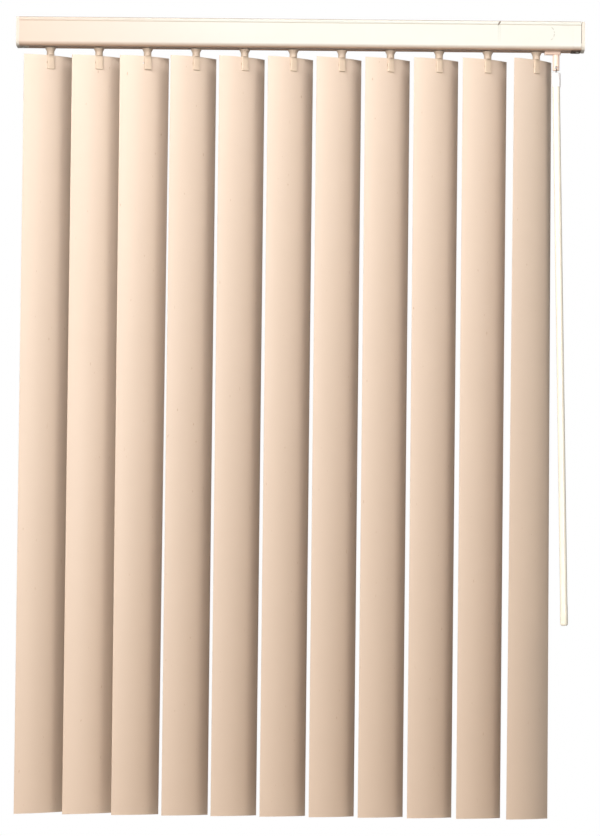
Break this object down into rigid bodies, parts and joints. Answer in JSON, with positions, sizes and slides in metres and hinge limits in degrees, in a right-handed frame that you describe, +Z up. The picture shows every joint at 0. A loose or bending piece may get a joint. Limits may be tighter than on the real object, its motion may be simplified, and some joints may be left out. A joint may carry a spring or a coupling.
{
  "type": "vertical blind",
  "caption": "Vertical blind: steel headrail with travelling carriers, curved hanging vanes that turn together, and a hanging control wand.",
  "frame": {"origin": "centre of the line between the two ceiling screw holes, on the plane of the ceiling and the headrail's top", "axes": "+X along the headrail towards the wand, -Y towards the room, +Z up"},
  "size_m": [0.914, 0.0636, 1.2785],
  "materials": {
    "rail_enamel": "satin ivory enamel",
    "cap_plastic": "moulded",
    "zinc_steel": "zinc plated",
    "rod_aluminium": "extruded",
    "carrier_acetal": "moulded",
    "stem_acetal": "moulded",
    "vane_pvc": "extruded, satin",
    "tilter_plastic": "moulded",
    "hook_steel": "drawn wire",
    "sleeve_plastic": "moulded",
    "wand_plastic": "extruded"
  },
  "bodies": {
    "headrail": {"headrail": "rail_enamel", "end_cap_left": "cap_plastic", "end_cap_right": "cap_plastic", "end_cap_screws": "zinc_steel", "mounting_clips": "zinc_steel", "carrier_01": "carrier_acetal"},
    "tilt_rod": {"tilt_rod": "rod_aluminium"},
    "carrier_02": {"carrier_02": "carrier_acetal"},
    "carrier_03": {"carrier_03": "carrier_acetal"},
    "carrier_04": {"carrier_04": "carrier_acetal"},
    "carrier_05": {"carrier_05": "carrier_acetal"},
    "carrier_06": {"carrier_06": "carrier_acetal"},
    "carrier_07": {"carrier_07": "carrier_acetal"},
    "carrier_08": {"carrier_08": "carrier_acetal"},
    "carrier_09": {"carrier_09": "carrier_acetal"},
    "carrier_10": {"carrier_10": "carrier_acetal"},
    "lead_carrier": {"carrier_11": "carrier_acetal", "tilter_arm": "tilter_plastic"},
    "worm_01": {"worm_01": "carrier_acetal"},
    "worm_02": {"worm_02": "carrier_acetal"},
    "worm_03": {"worm_03": "carrier_acetal"},
    "worm_04": {"worm_04": "carrier_acetal"},
    "worm_05": {"worm_05": "carrier_acetal"},
    "worm_06": {"worm_06": "carrier_acetal"},
    "worm_07": {"worm_07": "carrier_acetal"},
    "worm_08": {"worm_08": "carrier_acetal"},
    "worm_09": {"worm_09": "carrier_acetal"},
    "worm_10": {"worm_10": "carrier_acetal"},
    "worm_11": {"worm_11": "carrier_acetal"},
    "vane_01": {"stem_01": "stem_acetal", "vane_01": "vane_pvc"},
    "vane_02": {"stem_02": "stem_acetal", "vane_02": "vane_pvc"},
    "vane_03": {"stem_03": "stem_acetal", "vane_03": "vane_pvc"},
    "vane_04": {"stem_04": "stem_acetal", "vane_04": "vane_pvc"},
    "vane_05": {"stem_05": "stem_acetal", "vane_05": "vane_pvc"},
    "vane_06": {"stem_06": "stem_acetal", "vane_06": "vane_pvc"},
    "vane_07": {"stem_07": "stem_acetal", "vane_07": "vane_pvc"},
    "vane_08": {"stem_08": "stem_acetal", "vane_08": "vane_pvc"},
    "vane_09": {"stem_09": "stem_acetal", "vane_09": "vane_pvc"},
    "vane_10": {"stem_10": "stem_acetal", "vane_10": "vane_pvc"},
    "vane_11": {"stem_11": "stem_acetal", "vane_11": "vane_pvc"},
    "tilter_gear": {"tilter_gear": "carrier_acetal"},
    "tilter_stem": {"tilter_stem": "tilter_plastic"},
    "wand": {"wand_hook": "hook_steel", "wand_sleeve": "sleeve_plastic", "wand": "wand_plastic"}
  },
  "joints": [
    {"name": "traverse", "type": "slide", "parent": "headrail", "child": "lead_carrier", "axis": [-1, 0, 0], "range_m": [0, 0.5629]},
    {"name": "slide_02", "type": "slide", "parent": "headrail", "child": "carrier_02", "axis": [-1, 0, 0], "range_m": [0, 0.05629]},
    {"name": "slide_03", "type": "slide", "parent": "headrail", "child": "carrier_03", "axis": [-1, 0, 0], "range_m": [0, 0.11258]},
    {"name": "slide_04", "type": "slide", "parent": "headrail", "child": "carrier_04", "axis": [-1, 0, 0], "range_m": [0, 0.16887]},
    {"name": "slide_05", "type": "slide", "parent": "headrail", "child": "carrier_05", "axis": [-1, 0, 0], "range_m": [0, 0.22516]},
    {"name": "slide_06", "type": "slide", "parent": "headrail", "child": "carrier_06", "axis": [-1, 0, 0], "range_m": [0, 0.28145]},
    {"name": "slide_07", "type": "slide", "parent": "headrail", "child": "carrier_07", "axis": [-1, 0, 0], "range_m": [0, 0.33774]},
    {"name": "slide_08", "type": "slide", "parent": "headrail", "child": "carrier_08", "axis": [-1, 0, 0], "range_m": [0, 0.39403]},
    {"name": "slide_09", "type": "slide", "parent": "headrail", "child": "carrier_09", "axis": [-1, 0, 0], "range_m": [0, 0.45032]},
    {"name": "slide_10", "type": "slide", "parent": "headrail", "child": "carrier_10", "axis": [-1, 0, 0], "range_m": [0, 0.50661]},
    {"name": "tilt", "type": "hinge", "parent": "carrier_06", "child": "vane_06", "pos_m": [-0.01125, 0, -0.05], "axis": [0, 0, 1], "range_deg": [-5, 105]},
    {"name": "turn_01", "type": "hinge", "parent": "headrail", "child": "vane_01", "pos_m": [-0.4027, 0, -0.05], "axis": [0, 0, 1], "range_deg": [-5, 105]},
    {"name": "turn_02", "type": "hinge", "parent": "carrier_02", "child": "vane_02", "pos_m": [-0.32441, 0, -0.05], "axis": [0, 0, 1], "range_deg": [-5, 105]},
    {"name": "turn_03", "type": "hinge", "parent": "carrier_03", "child": "vane_03", "pos_m": [-0.24612, 0, -0.05], "axis": [0, 0, 1], "range_deg": [-5, 105]},
    {"name": "turn_04", "type": "hinge", "parent": "carrier_04", "child": "vane_04", "pos_m": [-0.16783, 0, -0.05], "axis": [0, 0, 1], "range_deg": [-5, 105]},
    {"name": "turn_05", "type": "hinge", "parent": "carrier_05", "child": "vane_05", "pos_m": [-0.08954, 0, -0.05], "axis": [0, 0, 1], "range_deg": [-5, 105]},
    {"name": "turn_07", "type": "hinge", "parent": "carrier_07", "child": "vane_07", "pos_m": [0.06704, 0, -0.05], "axis": [0, 0, 1], "range_deg": [-5, 105]},
    {"name": "turn_08", "type": "hinge", "parent": "carrier_08", "child": "vane_08", "pos_m": [0.14533, 0, -0.05], "axis": [0, 0, 1], "range_deg": [-5, 105]},
    {"name": "turn_09", "type": "hinge", "parent": "carrier_09", "child": "vane_09", "pos_m": [0.22362, 0, -0.05], "axis": [0, 0, 1], "range_deg": [-5, 105]},
    {"name": "turn_10", "type": "hinge", "parent": "carrier_10", "child": "vane_10", "pos_m": [0.30191, 0, -0.05], "axis": [0, 0, 1], "range_deg": [-5, 105]},
    {"name": "turn_11", "type": "hinge", "parent": "lead_carrier", "child": "vane_11", "pos_m": [0.3802, 0, -0.05], "axis": [0, 0, 1], "range_deg": [-5, 105]},
    {"name": "rod_turn", "type": "hinge", "parent": "headrail", "child": "tilt_rod", "pos_m": [0, 0.011, -0.028], "axis": [1, 0, 0], "range_deg": [-15, 315]},
    {"name": "worm_turn_01", "type": "hinge", "parent": "headrail", "child": "worm_01", "pos_m": [-0.4027, 0.011, -0.028], "axis": [1, 0, 0], "range_deg": [-15, 315]},
    {"name": "worm_turn_02", "type": "hinge", "parent": "carrier_02", "child": "worm_02", "pos_m": [-0.32441, 0.011, -0.028], "axis": [1, 0, 0], "range_deg": [-15, 315]},
    {"name": "worm_turn_03", "type": "hinge", "parent": "carrier_03", "child": "worm_03", "pos_m": [-0.24612, 0.011, -0.028], "axis": [1, 0, 0], "range_deg": [-15, 315]},
    {"name": "worm_turn_04", "type": "hinge", "parent": "carrier_04", "child": "worm_04", "pos_m": [-0.16783, 0.011, -0.028], "axis": [1, 0, 0], "range_deg": [-15, 315]},
    {"name": "worm_turn_05", "type": "hinge", "parent": "carrier_05", "child": "worm_05", "pos_m": [-0.08954, 0.011, -0.028], "axis": [1, 0, 0], "range_deg": [-15, 315]},
    {"name": "worm_turn_06", "type": "hinge", "parent": "carrier_06", "child": "worm_06", "pos_m": [-0.01125, 0.011, -0.028], "axis": [1, 0, 0], "range_deg": [-15, 315]},
    {"name": "worm_turn_07", "type": "hinge", "parent": "carrier_07", "child": "worm_07", "pos_m": [0.06704, 0.011, -0.028], "axis": [1, 0, 0], "range_deg": [-15, 315]},
    {"name": "worm_turn_08", "type": "hinge", "parent": "carrier_08", "child": "worm_08", "pos_m": [0.14533, 0.011, -0.028], "axis": [1, 0, 0], "range_deg": [-15, 315]},
    {"name": "worm_turn_09", "type": "hinge", "parent": "carrier_09", "child": "worm_09", "pos_m": [0.22362, 0.011, -0.028], "axis": [1, 0, 0], "range_deg": [-15, 315]},
    {"name": "worm_turn_10", "type": "hinge", "parent": "carrier_10", "child": "worm_10", "pos_m": [0.30191, 0.011, -0.028], "axis": [1, 0, 0], "range_deg": [-15, 315]},
    {"name": "worm_turn_11", "type": "hinge", "parent": "lead_carrier", "child": "worm_11", "pos_m": [0.3802, 0.011, -0.028], "axis": [1, 0, 0], "range_deg": [-15, 315]},
    {"name": "tilter_gear_turn", "type": "hinge", "parent": "lead_carrier", "child": "tilter_gear", "pos_m": [0.412, 0.011, -0.028], "axis": [1, 0, 0], "range_deg": [-15, 315]},
    {"name": "wand_turn", "type": "hinge", "parent": "lead_carrier", "child": "tilter_stem", "pos_m": [0.412, 0, -0.05], "axis": [0, 0, 1], "range_deg": [-15, 315]},
    {"name": "wand_swing", "type": "hinge", "parent": "tilter_stem", "child": "wand", "pos_m": [0.412, 0, -0.0731], "axis": [0, -1, 0], "range_deg": [-1.3, 30]}
  ],
  "couplings": [
    {"joint": "slide_02", "follows": "traverse", "ratio": 0.1},
    {"joint": "slide_03", "follows": "traverse", "ratio": 0.2},
    {"joint": "slide_04", "follows": "traverse", "ratio": 0.3},
    {"joint": "slide_05", "follows": "traverse", "ratio": 0.4},
    {"joint": "slide_06", "follows": "traverse", "ratio": 0.5},
    {"joint": "slide_07", "follows": "traverse", "ratio": 0.6},
    {"joint": "slide_08", "follows": "traverse", "ratio": 0.7},
    {"joint": "slide_09", "follows": "traverse", "ratio": 0.8},
    {"joint": "slide_10", "follows": "traverse", "ratio": 0.9},
    {"joint": "turn_01", "follows": "tilt", "ratio": 1},
    {"joint": "turn_02", "follows": "tilt", "ratio": 1},
    {"joint": "turn_03", "follows": "tilt", "ratio": 1},
    {"joint": "turn_04", "follows": "tilt", "ratio": 1},
    {"joint": "turn_05", "follows": "tilt", "ratio": 1},
    {"joint": "turn_07", "follows": "tilt", "ratio": 1},
    {"joint": "turn_08", "follows": "tilt", "ratio": 1},
    {"joint": "turn_09", "follows": "tilt", "ratio": 1},
    {"joint": "turn_10", "follows": "tilt", "ratio": 1},
    {"joint": "turn_11", "follows": "tilt", "ratio": 1},
    {"joint": "rod_turn", "follows": "tilt", "ratio": 3},
    {"joint": "worm_turn_01", "follows": "tilt", "ratio": 3},
    {"joint": "worm_turn_02", "follows": "tilt", "ratio": 3},
    {"joint": "worm_turn_03", "follows": "tilt", "ratio": 3},
    {"joint": "worm_turn_04", "follows": "tilt", "ratio": 3},
    {"joint": "worm_turn_05", "follows": "tilt", "ratio": 3},
    {"joint": "worm_turn_06", "follows": "tilt", "ratio": 3},
    {"joint": "worm_turn_07", "follows": "tilt", "ratio": 3},
    {"joint": "worm_turn_08", "follows": "tilt", "ratio": 3},
    {"joint": "worm_turn_09", "follows": "tilt", "ratio": 3},
    {"joint": "worm_turn_10", "follows": "tilt", "ratio": 3},
    {"joint": "worm_turn_11", "follows": "tilt", "ratio": 3},
    {"joint": "tilter_gear_turn", "follows": "tilt", "ratio": 3},
    {"joint": "wand_turn", "follows": "tilt", "ratio": 3}
  ]
}
